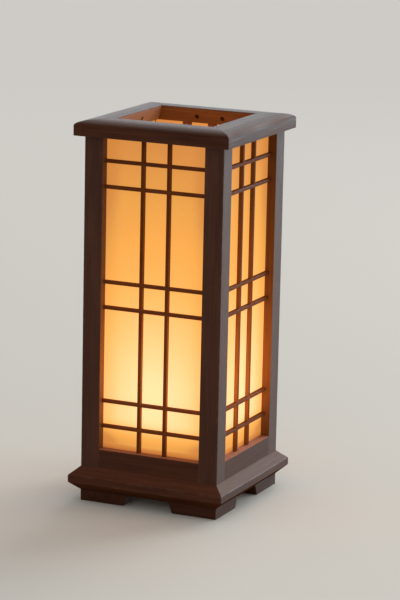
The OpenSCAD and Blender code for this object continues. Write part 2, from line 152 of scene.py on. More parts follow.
class Graph:
    """The nodes of one material or world."""

    def __init__(self, tree):
        self.tree = tree

    def feed(self, socket, value):
        """Links a Value to a socket, or sets a plain number or colour on it."""
        if isinstance(value, Value):
            self.tree.links.new(value.socket, socket)
        else:
            socket.default_value = value

    def node(self, kind, settings=None, inputs=None, output=0):
        """Adds a node: its settings come first, `stops` being a ramp's, then its sockets."""
        made = self.tree.nodes.new(kind)
        for key, value in (settings or {}).items():
            if key == "stops":
                while len(made.color_ramp.elements) < len(value):
                    made.color_ramp.elements.new(1)
                for element, (position, colour) in zip(made.color_ramp.elements, value):
                    element.position, element.color = position, (*colour, 1)
            else:
                setattr(made, key, value)
        for key, value in (inputs or {}).items():
            self.feed(made.inputs[key], value)
        return None if output is None else Value(self, made.outputs[output])

    def maths(self, operation, *values):
        """A Math node, such as the greater of its values."""
        return self.node("ShaderNodeMath", {"operation": operation}, dict(enumerate(values)))

    def step(self, value, low, high):
        """A smooth step of a value: 0 below low, 1 above high."""
        return self.node("ShaderNodeMapRange", {"interpolation_type": "SMOOTHSTEP"},
                         {"Value": value, "From Min": low, "From Max": high})

    def mix(self, factor, first, second):
        """The first colour where the factor is 0, the second where it is 1."""
        first, second = ((*c, 1) if isinstance(c, tuple) else c for c in (first, second))
        return self.node("ShaderNodeMix", {"data_type": "RGBA"}, {0: factor, 6: first, 7: second}, 2)

    def scaled(self, colour, factor):
        """A colour made paler or darker by a factor."""
        return self.node("ShaderNodeVectorMath", {"operation": "SCALE"}, {0: colour, "Scale": factor})

    def place(self):
        """Where a point lies on the lamp, in metres."""
        return self.node("ShaderNodeTexCoord", output="Object")

    def axis(self, number, vector=None):
        """One coordinate, 0 for x, 1 for y and 2 for z, of a vector or of the point's place."""
        return self.node("ShaderNodeSeparateXYZ", None, {"Vector": vector or self.place()}, number)

    def plan(self):
        """The lesser and the greater of |x| and |y|, and z: the same on all four sides."""
        flat = [abs(self.axis(i)) for i in range(2)]
        return self.maths("MINIMUM", *flat), self.maths("MAXIMUM", *flat), self.axis(2)

    def noise(self, width, lengths=(1, 1, 1), detail=2.0, shift=0.0):
        """Noise with spots `width` metres wide, drawn out by `lengths` along x, y and z."""
        spot = self.node("ShaderNodeMapping", None, {
            "Vector": self.place(), "Location": (shift, shift, shift),
            "Scale": tuple(1 / (width * k) for k in lengths)})
        return self.node("ShaderNodeTexNoise", None, {"Vector": spot, "Scale": 1.0, "Detail": detail})


class Finish(Graph):
    """A material with one Principled BSDF. Keyword values are set on the shader's own sockets."""

    def __init__(self, name, slot=None, **constants):
        self.slot = slot or name
        self.material = bpy.data.materials.new(name)
        self.material.use_nodes = True
        super().__init__(self.material.node_tree)
        self.shader = self.tree.nodes["Principled BSDF"]
        for socket, value in constants.items():
            self.feed(self.shader.inputs[socket.replace("_", " ")], value)

    def paint(self, colour, roughness, bump, depth):
        """Feeds what changes over the surface. The bump's height runs from 0 to 1 over depth."""
        normal = self.node("ShaderNodeBump", None, {"Height": bump, "Distance": depth})
        for socket, value in (("Base Color", colour), ("Roughness", roughness), ("Normal", normal)):
            self.feed(self.shader.inputs[socket], value)
        return self


def linear(red, green, blue):
    """A screen colour, 0 to 255, as the linear light that a shader works with."""
    c = np.array((red, green, blue)) / 255
    return tuple(float(v) for v in np.where(c <= 0.04045, c / 12.92, ((c + 0.055) / 1.055) ** 2.4))


print("walnut stain as linear light:", [round(v, 3) for v in linear(74, 44, 33)])

# %% [markdown]
# ## The wood
#
# All the joinery is one dark, straight-grained hardwood under a thin satin varnish. Grain can be
# painted on a picture, but a procedural grain fits every piece without a seam. Three noises do
# it: broad bands of tone, streaks a few millimetres wide, and short dark pores. Each is drawn
# out along the piece, so there is one finish for each direction that a piece can run in. Arrises
# show a little paler and smoother, partly as wear and partly as a painted highlight of the light
# that they catch, and they are found by a mark on the mesh, because the shapes below know which
# of their points lie on a rounded edge.

# %% Wood
def wood(name, slot, along, tones, rough=0.44, specular=0.08, sheen=0.35, painted_light=None,
         glow=None, glow_over_piece=None):
    """Straight-grained wood whose grain runs along one axis, 0 to 2 for x to z, in a dark and a
    light tone. A dict of rules gives some faces a colour that paints the glow or sheen falling on
    them, each rule saying how far a point lies off its face. `glow` is a rule for how bright that
    painted glow is, and one more rule paints a glow over the whole piece."""
    finish = Finish(name, slot, Specular_IOR_Level=specular, Sheen_Weight=sheen, Sheen_Roughness=0.3)

    def drawn_out(width, factor, detail, shift):
        lengths = [1, 1, 1]
        lengths[along] = factor
        return finish.noise(width, lengths, detail, shift)

    dark, light = tones
    bands = finish.step(drawn_out(11 * mm, 9, 2, 3.1), 0.3, 0.7)
    streaks = finish.step(drawn_out(1.7 * mm, 24, 4, 7.7), 0.28, 0.72)
    pores = finish.step(drawn_out(0.45 * mm, 22, 2, 1.3), 0.6, 0.74)
    # Arrises: paler and smoother, partly wear and partly a painted highlight.
    wear_and_highlight = finish.node("ShaderNodeAttribute", {"attribute_name": "arris"}, output="Fac")
    wear_and_highlight = wear_and_highlight * finish.step(finish.noise(6 * mm, detail=3), 0.42, 0.66)
    colour = finish.mix(bands * 0.45 + streaks * 0.55, dark, light)
    # A painted glow over the whole piece, where one is given.
    if glow_over_piece:
        colour = finish.scaled(colour, glow_over_piece(finish))
    # Faces beside the light take colours that paint the glow, and on some faces the window's sheen, that
    # falls on them.
    for off_face, thin in (painted_light or {}).items():
        on_face = 1 - finish.step(abs(off_face(finish)), 0.05 * mm, 0.3 * mm)
        depth = 0.82 + streaks * 0.36
        if glow:
            depth = depth * glow(finish)
        colour = finish.mix(on_face, colour, finish.scaled(thin, depth))
    colour = finish.mix(pores * 0.45, colour, tuple(c * 0.35 for c in dark))
    colour = finish.mix(wear_and_highlight * 0.11, colour, linear(124, 92, 76))
    return finish.paint(colour, rough - 0.10 + pores * 0.22 + streaks * 0.27 - wear_and_highlight * 0.06,
                        streaks * 0.5 - pores, 0.05 * mm)


WOOD_STAIN = linear(58, 30, 18), linear(80, 45, 29)
# The bars' tones are warmer and paler than the frame's: wood tone with a painted glow from the lit paper.
BAR_TONES_WITH_GLOW = linear(70, 31, 9), linear(90, 43, 14)
# The feet's tones are darker than the frame's: a painted shade under the moulding.
FOOT_TONES_WITH_SHADE = linear(50, 25, 14), linear(69, 38, 24)
print("dark and light tone of the frame:", np.round(WOOD_STAIN, 3).tolist())

# %% [markdown]
# ## Painted glow round the light
#
# Next to the lit paper the real wood glows. Many small lamps could do that. Here the glow is
# painted: the posts' inner faces, the sides of the bars, the ledge and the cap's inner faces take
# a paler, warmer colour, and the moulding's upper bevel a paler one for the light that falls on it.
# On the left and right sides the cap's inner faces and the bevel are greyer, a painted sheen of the
# window. A rule says how far a point lies off such a face, by the sorted |x| and |y|, so one rule
# serves all four sides. On the upright faces and all bars the painted glow is brightest level with
# the bulb, 1 / (1 + h^2), h being the height off that level in parts of its spread, and it is
# dimmer at top and foot.

# %% Wood finishes
# The height where the painted glow is brightest, and how far it spreads.
palest_z, palest_spread = 0.105, 0.060


def off_ledge(finish):
    """How far a point lies off the top of the bottom rails."""
    return finish.axis(2) - ledge


def off_leaning(start, slope, top):
    """The rule for a face that begins at start and top, and runs out by slope on its way down."""
    def rule(finish):
        _, most, z = finish.plan()
        return most - start - slope * (top - z)
    return rule


def off_post(finish):
    """How far a point lies off the posts' faces beside the paper, which begin at the ledge."""
    least, _, z = finish.plan()
    return finish.maths("MAXIMUM", abs(least - post_in), ledge - z)


def off_bar(finish):
    """How far a point lies off the sides of the upright bars."""
    return abs(finish.plan()[0] - bar_edge + bar_w / 2) - bar_w / 2


def by_the_bulb(finish):
    """How bright the painted glow on a face beside the paper is: most level with the bulb, less at top and
    foot.
    """
    z = finish.axis(2)
    h = (z - palest_z) / palest_spread
    return (0.40 + 1.15 / (1 + h * h)) * (0.75 + 0.25 * finish.step(z, 0.050, 0.080))


def bar_glow(finish):
    """How bright the painted glow on the bars is. It changes less with height than on the faces beside them.
    """
    return 0.8 + by_the_bulb(finish)


off_opening = off_leaning(cap_in, cap_slope, cap_top)
off_bevel = off_leaning(body_face, (nose - body_face) / bevel_h, bevel_top)
# Painted glow of the paper and bulb on the faces beside them, painted light on the bevel, and for the left
# and right sides a greyer painted sheen of the window too.
POST_GLOW, BAR_SIDE_GLOW, LEDGE_GLOW = (0.240, 0.072, 0.012), (0.310, 0.100, 0.018), (0.340, 0.088, 0.011)
OPENING_GLOW, OPENING_GLOW_AND_SHEEN = (0.125, 0.055, 0.022), (0.205, 0.118, 0.075)
BEVEL_LIGHT, BEVEL_LIGHT_AND_SHEEN = (0.092, 0.028, 0.013), (0.110, 0.056, 0.039)

frame_wood = [wood("frame_wood_x", "frame_wood", 0, WOOD_STAIN, specular=0.07,
                   painted_light={off_ledge: LEDGE_GLOW, off_opening: OPENING_GLOW, off_bevel: BEVEL_LIGHT}),
              wood("frame_wood_y", "frame_wood", 1, WOOD_STAIN, specular=0.07,
                   painted_light={off_ledge: LEDGE_GLOW, off_opening: OPENING_GLOW_AND_SHEEN, off_bevel: BEVEL_LIGHT_AND_SHEEN}),
              wood("frame_wood_z", "frame_wood", 2, WOOD_STAIN, specular=0.175,
                   painted_light={off_post: POST_GLOW}, glow=by_the_bulb)]
lattice_wood = [wood(f"lattice_wood_{axis}", "lattice_wood", i, BAR_TONES_WITH_GLOW, 0.55, 0.06, 0.0,
                     glow_over_piece=bar_glow) for i, axis in enumerate("xy")]
lattice_wood.append(wood("lattice_wood_z", "lattice_wood", 2, BAR_TONES_WITH_GLOW, 0.55, 0.03, 0.0,
                         {off_bar: BAR_SIDE_GLOW}, by_the_bulb, bar_glow))
foot_wood = [wood(f"foot_wood_{axis}", "frame_wood", i, FOOT_TONES_WITH_SHADE, specular=0.07)
             for i, axis in enumerate("xy")]
stop_wood = wood("stop_wood", "inner_wood", 0, (linear(96, 54, 36), linear(124, 76, 52)), 0.5)
raw_wood = wood("raw_wood_x", "raw_wood", 0, (linear(150, 112, 72), linear(186, 146, 100)), 0.62)
print("wood finishes:", len([*frame_wood, *lattice_wood, *foot_wood, stop_wood, raw_wood]))

# %% [markdown]
# ## Solids from rings
#
# Nearly every piece here is a closed line, its section, carried along a path. That makes a grid
# of points: one row, or ring, for each step of the path. A solid could also be cut from boxes,
# but rings give clean quads, softened edges at no cost, and one function for posts, mouldings,
# screws and bulb alike. The points, the quads and the signed volume are worked out as arrays. A
# mesh becomes a piece of the lamp when it rides on a CAD body, stands for a CAD node and carries
# its finish. All four sides are alike, so a piece can be made once and turned to each of them.

# %% Solids and pieces
CREASE = math.radians(32)


class Solid:
    """A closed surface: points, quads, flat end faces, and how much each point is an arris."""

    def __init__(self, points, quads, ends=(), arris=None):
        self.points = points
        self.quads = quads
        self.ends = [np.asarray(end) for end in ends]
        self.arris = np.zeros(len(points)) if arris is None else arris

    def side(self, number):
        """The same solid on another side: a quarter turn about the lamp's axis for each."""
        cos, sin = [(1, 0), (0, 1), (-1, 0), (0, -1)][number % 4]
        turned = self.points @ np.array([[cos, sin, 0], [-sin, cos, 0], [0, 0, 1]], float)
        return Solid(turned, self.quads, self.ends, self.arris)

    def moved(self, by):
        return Solid(self.points + np.asarray(by), self.quads, self.ends, self.arris)

    def volume(self):
        """Six times the volume: a sum over triangles of a . (b x c), positive if they face out."""
        corners = [self.quads[:, [0, 1, 2]], self.quads[:, [0, 2, 3]]]
        for end in self.ends:
            fan = np.column_stack([np.full(len(end) - 2, end[0]), end[1:-1], end[2:]])
            corners.append(fan)
        a, b, c = (self.points[np.concatenate(corners)[:, i]] for i in range(3))
        return float(np.sum(a * np.cross(b, c)))


def solid_of(rings, looped=False, arris=None):
    """The solid between rings, an array of (ring, point on the ring, xyz).

    Point (i, j) joins (i + 1, j) and (i, j + 1). The points close on themselves, and so do the
    rings if looped; otherwise the first and the last ring are each closed by one flat face.
    """
    count, around = rings.shape[:2]
    number = np.arange(count * around).reshape(count, around)
    if looped:
        number = np.vstack([number, number[:1]])
    after = np.roll(number, -1, axis=1)
    quads = np.stack([number[:-1], after[:-1], after[1:], number[1:]], axis=-1).reshape(-1, 4)
    ends = [] if looped else [number[0][::-1], number[-1]]
    marks = None if arris is None else np.broadcast_to(arris, (count, around)).ravel()
    made = Solid(rings.reshape(-1, 3), quads, ends, marks)
    if made.volume() < 0:
        made.quads = made.quads[:, ::-1]
        made.ends = [end[::-1] for end in made.ends]
    return made


def settle(mesh, node, finish, body="root"):
    """Makes a mesh a piece: smooth up to the crease angle and fastened to the frame."""
    mesh.update()
    mesh.validate()
    mesh.shade_smooth()
    mesh.set_sharp_from_angle(angle=CREASE)
    mesh.materials.clear()
    mesh.materials.append(finish.material)
    piece = bpy.data.objects.new(mesh.name, mesh)
    link(piece)
    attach(piece, body)
    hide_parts(node)
    return piece


def show(node, suffix, solids, finish, body="root"):
    """Makes the solids one piece that stands for a CAD node and rides on a CAD body."""
    starts = np.cumsum([0] + [len(s.points) for s in solids])
    faces = []
    for solid, start in zip(solids, starts):
        faces += (solid.quads + start).tolist() + [(end + start).tolist() for end in solid.ends]
    mesh = bpy.data.meshes.new(f"{node}_{suffix}")
    mesh.from_pydata(np.vstack([s.points for s in solids]).tolist(), [], faces)
    marks = mesh.attributes.new("arris", "FLOAT", "POINT")
    marks.data.foreach_set("value", np.concatenate([s.arris for s in solids]).astype(np.float32))
    return settle(mesh, node, finish, body)


def show_round(stem, suffix, solids, finishes, places=SIDES):
    """Shows the front's solids in all four places, with the finishes taking turns."""
    return [show(f"{stem}_{place}", suffix, [s.side(number) for s in solids],
                 finishes[number % len(finishes)]) for number, place in enumerate(places)]


print("crease angle, degrees:", round(math.degrees(CREASE)))

# %% [markdown]
# ## Softened sections
#
# A planed edge is never a perfect arris. The maker breaks it with a block, and that thin rounding
# is what catches the light. A Bevel modifier could add it. Here it is part of the section: each
# corner becomes a short parabola that starts `cut` before the corner and ends `cut` after it. A
# point further along on each side keeps the flats flat and marks where the arris's paler colour,
# part wear and part painted highlight, ends.

# %% Sections
CORNER_STEPS, END_STEPS = 5, 4


def unit(v):
    """Vectors with their length made 1."""
    return v / np.linalg.norm(v, axis=-1, keepdims=True)


def soften(corners, cut, rim=0.9 * mm):
    """A polygon with its corners softened: the corner c becomes c + cut (1-u)^2 b + cut u^2 f,
    where b and f point back and forward along its edges and u runs from 0 to 1. Corners with a
    cut of 0 stay as they are. Gives the points and how much each of them is an arris."""
    c = np.asarray(corners, float)[:, None]
    cut = np.broadcast_to(np.asarray(cut, float), len(c))[:, None, None]
    back, forward = (unit(np.roll(c, shift, 0) - c) for shift in (1, -1))
    u = np.linspace(0, 1, CORNER_STEPS)[None, :, None]
    reach = cut + rim * (cut > 0)
    arc = c + cut * ((1 - u) ** 2 * back + u ** 2 * forward)
    points = np.concatenate([c + reach * back, arc, c + reach * forward], axis=1)
    mark = np.array([0] + [1] * CORNER_STEPS + [0], float)
    keep = (cut[:, :, 0] > 0) | (np.arange(CORNER_STEPS + 2) == 0)
    return points[keep], (mark * (cut[:, :, 0] > 0))[keep]


def outward(section):
    """The way out of a closed section at each point, long enough to move both its edges by 1."""
    edge = unit(np.roll(section, -1, 0) - section)
    normal = np.column_stack([edge[:, 1], -edge[:, 0]])
    before = np.roll(normal, 1, 0)
    turn = 1 + np.sum(normal * before, axis=1, keepdims=True)
    x, y = section.T
    area = np.sum(x * np.roll(y, -1) - y * np.roll(x, -1))
    return np.sign(area) * (normal + before) / np.maximum(turn, 0.5)


def strip(corners, cut, half, mitre=0.0, rim=0.9 * mm):
    """A strip along x whose section is a polygon of (distance out, height) points.

    Both ends lie at x = half + mitre * distance out: square for mitre 0, mitred for mitre 1.
    The last rings shrink by a quarter circle, x = end - e (1 - cos q), inset = e (1 - sin q),
    so the ends are softened as well.
    """
    section, mark = soften(corners, cut, rim)
    end_cut = 0.12 * mm
    q = np.linspace(0, math.pi / 2, END_STEPS)
    gap = np.append(end_cut * (1 - np.cos(q)), end_cut + rim)
    inset = np.append(end_cut * (1 - np.sin(q)), 0)
    wear_and_highlight = np.append(np.ones(END_STEPS), 0)
    gap, inset, wear_and_highlight = (np.concatenate([v, v[::-1]]) for v in (gap, inset, wear_and_highlight))
    sign = np.repeat([-1, 1], END_STEPS + 1)[:, None]
    shrunk = section[None] - inset[:, None, None] * outward(section)[None]
    out, height = shrunk[..., 0], shrunk[..., 1]
    x = sign * (half + mitre * out - gap[:, None])
    return solid_of(np.stack([x, -out, height], axis=-1), arris=np.maximum(mark[None], wear_and_highlight[:, None]))


def stick(low, high, along, cut):
    """A bar between two corners of its box, with softened arrises, along axis 0, 1 or 2."""
    low, high = np.asarray(low, float), np.asarray(high, float)
    p, q = (along + 1) % 3, (along + 2) % 3
    size, middle = (high - low) / 2, (high + low) / 2
    square = np.array([[-1, -1], [1, -1], [1, 1], [-1, 1]]) * size[[p, q]]
    made = strip(square, cut, size[along])
    x, out, height = made.points.T * np.array([[1], [-1], [1]])
    placed = np.empty_like(made.points)
    placed[:, along], placed[:, p], placed[:, q] = x, out, height
    rings = 2 * (END_STEPS + 1)
    return solid_of(placed.reshape(rings, -1, 3), arris=made.arris.reshape(rings, -1)).moved(middle)


print("points round a softened square:", len(soften([(0, 0), (9, 0), (9, 9), (0, 9)], 1)[0]))

# %% [markdown]
# ## Posts and bottom rails
#
# The posts stand on the feet and carry the cap, and the rails are let in between them, flush with
# their faces. Above the rails a post is an angle, so that the paper can reach behind it. The outer
# arris is broken more than the ones next to the paper, which stay crisp so that the joint with the
# rail closes to a hairline. The tenons are hidden in the wood, so the rails stop at the posts here.

# %% Posts and bottom rails
post_back = -paper_low[1] + 0.1 * mm
outer_arrises = [(post_in, -body_face), (body_face, -body_face)]
square_corner = [(post_in, -post_in), *outer_arrises, (body_face, -post_in)]
angle_corner = [(post_in, -post_back), *outer_arrises, (body_face, -post_in), (post_back, -post_in),
                (post_back, -post_back)]
square_cuts = np.array([0.2, 0.15, 0.7, 0.15]) * mm
angle_cuts = np.array([0.2, 0.15, 0.7, 0.15, 0.2, 0.2]) * mm


def upright(corners, cut, low, high):
    """A straight piece along z: the section's points are (x, y), and they stay so at any z."""
    section, mark = soften(corners, cut)
    rings = np.stack([np.column_stack([section, np.full(len(section), z)]) for z in (low, high)])
    return solid_of(rings, arris=mark)


foot_part = upright(square_corner, square_cuts, post_low[2], ledge)
head_part = upright(angle_corner, angle_cuts, ledge, cap_under)
rail = stick((-post_in, rail_low[1], rail_low[2]), (post_in, rail_high[1], ledge), 0, 0.15 * mm)
show_round("post", "planed", [foot_part, head_part], [frame_wood[2]], CORNERS)
show_round("bottom_rail", "planed", [rail], frame_wood[:2])
print("rails, from and to, mm:", in_mm([rail_low, rail_high]))

# %% [markdown]
# ## Base moulding and cap
#
# Both are run as long mouldings and mitred at the corners, so both are one section carried along
# one side: P(s, t) = (t d(s), -d(s), z(s)), with t from -1 to 1. The moulding is a beak with a
# flat nose between two bevels. The cap is a flat rail whose top outer edge falls away in a quarter
# ellipse, and whose inner face leans back on its way down. The moulding's underside is left bare,
# without gloss, so that it doesn't mirror the pale floor.

# %% Base moulding and cap rails
beak = [(body_face, mould_low[2]), (nose, mould_low[2] + bevel_h),
        (nose, bevel_top - bevel_h), (body_face, bevel_top)]
moulding = strip(beak, np.array([0.1, 0.7, 0.7, 0.1]) * mm, 0, mitre=1)
bare_wood = [wood(f"bare_wood_{axis}", "frame_wood", i, WOOD_STAIN, 0.8, 0.0, 0.0)
             for i, axis in enumerate("xy")]

round_in, round_h = 16.5 * mm, 4.5 * mm
quarter = np.linspace(0, math.pi / 2, 13)
ellipse = np.column_stack([cap_edge - round_in * (1 - np.cos(quarter)),
                           cap_top - round_h * (1 - np.sin(quarter))])
cap_section = np.vstack([[(cap_in + cap_lean, cap_under), (cap_edge, cap_under)], ellipse,
                         [(cap_in, cap_top)]])
cap_cuts = np.array([0.3, 0.5] + [0] * len(ellipse) + [1.0]) * mm
cap_rail = strip(cap_section, cap_cuts, 0, mitre=1, rim=0.4 * mm)
for number, run in enumerate(show_round("base_moulding", "run", [moulding], frame_wood[:2])):
    run.data.materials.append(bare_wood[number % 2].material)
    faces_down = np.array([face.normal.z for face in run.data.polygons]) < -0.3
    run.data.polygons.foreach_set("material_index", faces_down.astype(np.int32))
show_round("cap_rail", "run", [cap_rail], frame_wood[:2])
print("the nose stands out of the body by, mm:", in_mm(nose - body_face))

# %% [markdown]
# ## The lattice
#
# Two uprights and three pairs of level bars lie in one plane in front of the paper on each side.
# The real bars are halved into each other where they cross. Two solids that share a plane would
# flicker, so the uprights are planed a hair thinner than the level bars.

# %% Uprights and level bars
bar_cut, step_back = 0.3 * mm, 0.15 * mm
uprights = [stick((x, uprights_low[1] + step_back, uprights_low[2]), (x + bar_w, *uprights_high[1:]),
                  2, bar_cut) for x in (uprights_low[0], bar_edge - bar_w)]
show_round("lattice_uprights", "planed", uprights, [lattice_wood[2]])
for level in ("low", "mid", "high"):
    low, high = corners_of(f"lattice_{level}_bars_front")
    bars = [stick((*low[:2], z), (*high[:2], z + bar_h), 0, bar_cut) for z in (low[2], high[2] - bar_h)]
    show_round(f"lattice_{level}_bars", "planed", bars, lattice_wood[:2])
print("uprights on a side, from and to, mm:", in_mm([uprights_low, uprights_high]))

# %% [markdown]
# ## The paper
#
# The panels are thin washi, set behind the bars and lit by the bulb. The sheet could be a plain
# box, but paper is never dead flat between its grooves, so its face is a grid with a slow ripple
# of a fraction of a millimetre, always away from the bars, and a Solidify modifier gives it its
# thickness. The glow is brightest low down, where the bulb is, and falls off as light from a small
# source does, 1 / (1 + h^2 + w^2), h and w being the distances up and across in parts of their
# spread. The posts shade its edges and the ledge its foot. That brightness runs through a ramp
# from deep amber to pale yellow. How far along its own side a point lies is the lesser of |x| and
# |y|, so one finish serves all four sides.

# %% Glowing paper
bright_z, spread_z, spread_across = 0.088, 0.088, 0.070


def paper_finish():
    """Paper lit from behind: its brightness picks a colour from a ramp."""
    finish = Finish("shoji_paper", Specular_IOR_Level=0.08, Emission_Strength=4.0)
    across, _, z = finish.plan()
    h, w = (z - bright_z) / spread_z, across / spread_across
    glow = 0.27 + 0.57 / (1 + h * h + w * w)
    glow = glow * (1 - 0.11 * finish.step(across, 0.028, 0.044))
    glow = glow * (0.56 + 0.44 * finish.step(z, 0.050, 0.072)) * (0.35 + 0.65 * finish.step(z, 0.043, 0.0495))
    fibres = finish.noise(1.1 * mm, (3, 3, 1), 5, 2.2)
    clouds = finish.noise(24 * mm, detail=2)
    glow = glow * (0.965 + 0.03 * fibres + 0.04 * clouds)
    stops = [(0.0, (0.010, 0.002, 0.0)), (0.188, (0.126, 0.041, 0.009)), (0.266, (0.144, 0.052, 0.011)),
             (0.333, (0.154, 0.059, 0.013)), (0.36, (0.163, 0.064, 0.015)), (0.40, (0.195, 0.087, 0.018)),
             (0.46, (0.238, 0.101, 0.021)), (0.54, (0.275, 0.119, 0.029)), (0.58, (0.300, 0.130, 0.036)),
             (0.70, (0.330, 0.160, 0.060)), (0.78, (0.345, 0.184, 0.082)), (0.84, (0.360, 0.205, 0.099))]
    colour = finish.node("ShaderNodeValToRGB", {"stops": stops}, {"Fac": glow})
    finish.feed(finish.shader.inputs["Emission Color"], colour)
    base = finish.mix(fibres, (0.13, 0.048, 0.007), (0.16, 0.062, 0.010))
    return finish.paint(base, 0.8, fibres, 0.04 * mm)


def paper_sheet(low, high):
    """A face P(u, v) = (u, y0 + ripple(u, v), v): the ripple is a product of two slow waves."""
    u, v = np.meshgrid(np.linspace(low[0], high[0], 41), np.linspace(low[2], high[2], 97))
    ripple = 0.12 * mm * (1 + np.sin(u / 0.017 + v / 0.031) * np.cos(v / 0.023 - u / 0.041))
    points = np.stack([u, low[1] + ripple, v], axis=-1).reshape(-1, 3)
    number = np.arange(len(points)).reshape(u.shape)
    quads = np.stack([number[:-1, :-1], number[:-1, 1:], number[1:, 1:], number[1:, :-1]], axis=-1)
    return Solid(points, quads.reshape(-1, 4))


for panel in show_round("paper_panel", "sheet", [paper_sheet(paper_low, paper_high)], [paper_finish()]):
    thick = panel.modifiers.new("thickness", "SOLIDIFY")
    thick.thickness = 0.5 * mm
    thick.offset = -1
print("paper panel, from and to, mm:", in_mm([paper_low, paper_high]))

# %% [markdown]
# ## Turned pieces
#
# Pins, nipple, lampholder and bulb are turned, so they are surfaces of revolution: P(s, a) =
# (r cos a, r sin a, z). A screw thread is the same surface with a radius that also depends on
# z - pitch * a / 2 pi, and a hexagon nut is one whose radius depends on a alone. One function
# takes the profile and, where it is wanted, a rule for such a change of radius.

# %% Surfaces of revolution
def turned(profile, looped=False, around=64, change=None):
    """The profile's (r, z) points turned about the z axis. `change` gives what is added to r at
    each (r, z, angle). A looped profile closes on itself, as a tube's does; otherwise its two ends
    are closed by flat faces."""
    profile = np.asarray(profile, float)
    angle = np.linspace(0, 2 * math.pi, around, endpoint=False)[None]
    r, z = (np.repeat(profile[:, i:i + 1], around, axis=1) for i in range(2))
    if change:
        r = r + change(r, z, angle)
    return solid_of(np.stack([r * np.cos(angle), r * np.sin(angle), z], axis=-1), looped)


def span(node):
    """The outer radius of a turned CAD node, and the heights at which it begins and ends."""
    low, high = corners_of(node)
    return high[0], low[2], high[2]


def dense(profile, step):
    """The same profile with points at most a step apart, by linear interpolation."""
    profile = np.asarray(profile, float)
    length = np.concatenate([[0], np.cumsum(np.linalg.norm(np.diff(profile, axis=0), axis=1))])
    at = np.union1d(np.arange(0, length[-1], step), length)
    return np.column_stack([np.interp(at, length, profile[:, i]) for i in range(2)])


def window(z, low, high, soft):
    """1 between low and high, falling to 0 over a length of soft on both sides."""
    return np.clip((z - low) / soft, 0, 1) * np.clip((high - z) / soft, 0, 1)


print("points on a 10 mm wall at 3 mm steps:", len(dense([(1, 0), (1, 10)], 3)))

# %% [markdown]
# ## Metal, plastic and glass
#
# Turned metal shows fine rings and a few dull smudges, moulded and pressed stuff only a faint
# cloudiness. A plain colour would look like a drawing, so in each finish one or two noises move
# the tone, the roughness and the relief a little.

# %% Metal, plastic and glass
def metal(name, colour, roughness, spread=0.12):
    """Turned metal: fine rings of roughness and a few smudges."""
    finish = Finish(name, Metallic=1.0)
    rings = finish.noise(0.5 * mm, (30, 30, 1), 3)
    smudge = finish.noise(5 * mm, detail=3, shift=4.0)
    dull = tuple(c * 0.72 for c in colour)
    return finish.paint(finish.mix(finish.step(smudge, 0.35, 0.7), colour, dull),
                        roughness + rings * spread + smudge * spread - spread, rings, 0.01 * mm)


def cloudy(name, spots, detail, tones, roughness, spread, depth, specular):
    """Moulded or pressed stuff: one noise moves its tone, its roughness and its relief."""
    finish = Finish(name, Specular_IOR_Level=specular)
    cloud = finish.noise(spots, detail=detail)
    return finish.paint(finish.mix(cloud, *tones), roughness + cloud * spread, cloud, depth)


brass = metal("brass", (0.78, 0.55, 0.24), 0.28)
dark_brass = metal("dark_brass", (0.035, 0.018, 0.010), 0.42)
zinc_steel = metal("zinc_steel", (0.62, 0.61, 0.58), 0.36)
nickel_steel = metal("nickel_steel", (0.72, 0.71, 0.68), 0.24)

rubber = cloudy("bushing_rubber", 0.6 * mm, 3, ((0.012, 0.012, 0.013), (0.03, 0.03, 0.032)),
                0.6, 0.15, 0.03 * mm, 0.4)
black_plastic = cloudy("holder_plastic", 3 * mm, 4, ((0.010, 0.009, 0.009), (0.022, 0.020, 0.019)),
                       0.26, 0.16, 0.02 * mm, 0.5)
black_glass = cloudy("black_glass", 2 * mm, 3, ((0.004, 0.004, 0.005), (0.012, 0.011, 0.012)),
                     0.06, 0.1, 0.02 * mm, 0.6)
white_plastic = cloudy("bulb_plastic", 1.5 * mm, 4, (linear(226, 222, 212), linear(238, 235, 227)),
                       0.34, 0.12, 0.015 * mm, 0.5)
print("metals:", [finish.material.name for finish in (brass, dark_brass, zinc_steel, nickel_steel)])

# %% [markdown]
# ## Lattice pins and paper stops
#
# A brass pin is driven through the cap's inner face into each upright's tenon, and beside it a
# small block keeps the paper's head from coming forward. The pins have low domed heads that stand
# a little proud. The cap's inner face leans, so each pin is sheared to lie flush with it: y grows
# with z by the same slope. The blocks are copies of the CAD solids with a Bevel modifier.

# %% Pins and stops
pins_low, pins_high = corners_of("lattice_pins")
pin_x = bar_edge - bar_w / 2
pin_z = (pins_low[2] + pins_high[2]) / 2
pin_y = cap_in + cap_slope * (cap_top - pin_z)
pin_reach = pins_high[0] - pin_y
head_r, head_t, shank_r, dome = 1.9 * mm, 1 * mm, 0.6 * mm, 0.3 * mm
share = np.linspace(0.06, 1, 9)
pin_profile = np.vstack([np.column_stack([head_r * share, -dome * (1 - share ** 2)]),
                         [(head_r, head_t), (shank_r, head_t), (shank_r, pin_reach)]])
lying = turned(pin_profile, around=24)
lying.points = lying.points[:, [0, 2, 1]] * [1, -1, 1]
lying.points[:, 1] += cap_slope * lying.points[:, 2]
pins = [lying.moved((x, -pin_y, pin_z)).side(n) for n in range(4) for x in (-pin_x, pin_x)]
show("lattice_pins", "domed", pins, dark_brass)


def copy_of(node, suffix, finish, cut):
    """A merged copy of a CAD node with a Bevel modifier on its sharp edges."""
    mesh = bpy.data.meshes.new(f"{node}_{suffix}")
    shape = bmesh.new()
    shape.from_mesh(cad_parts[node].data)
    bmesh.ops.remove_doubles(shape, verts=shape.verts, dist=1e-6)
    bmesh.ops.dissolve_limit(shape, angle_limit=math.radians(1), verts=shape.verts, edges=shape.edges)
    shape.to_mesh(mesh)
    shape.free()
    bevel = settle(mesh, node, finish).modifiers.new("softened", "BEVEL")
    bevel.width, bevel.segments, bevel.use_clamp_overlap = cut, 2, False
    bevel.limit_method, bevel.angle_limit = "ANGLE", math.radians(40)
    bevel.harden_normals = True


copy_of("paper_stops", "cut", stop_wood, 0.2 * mm)
print("pins:", len(pins))
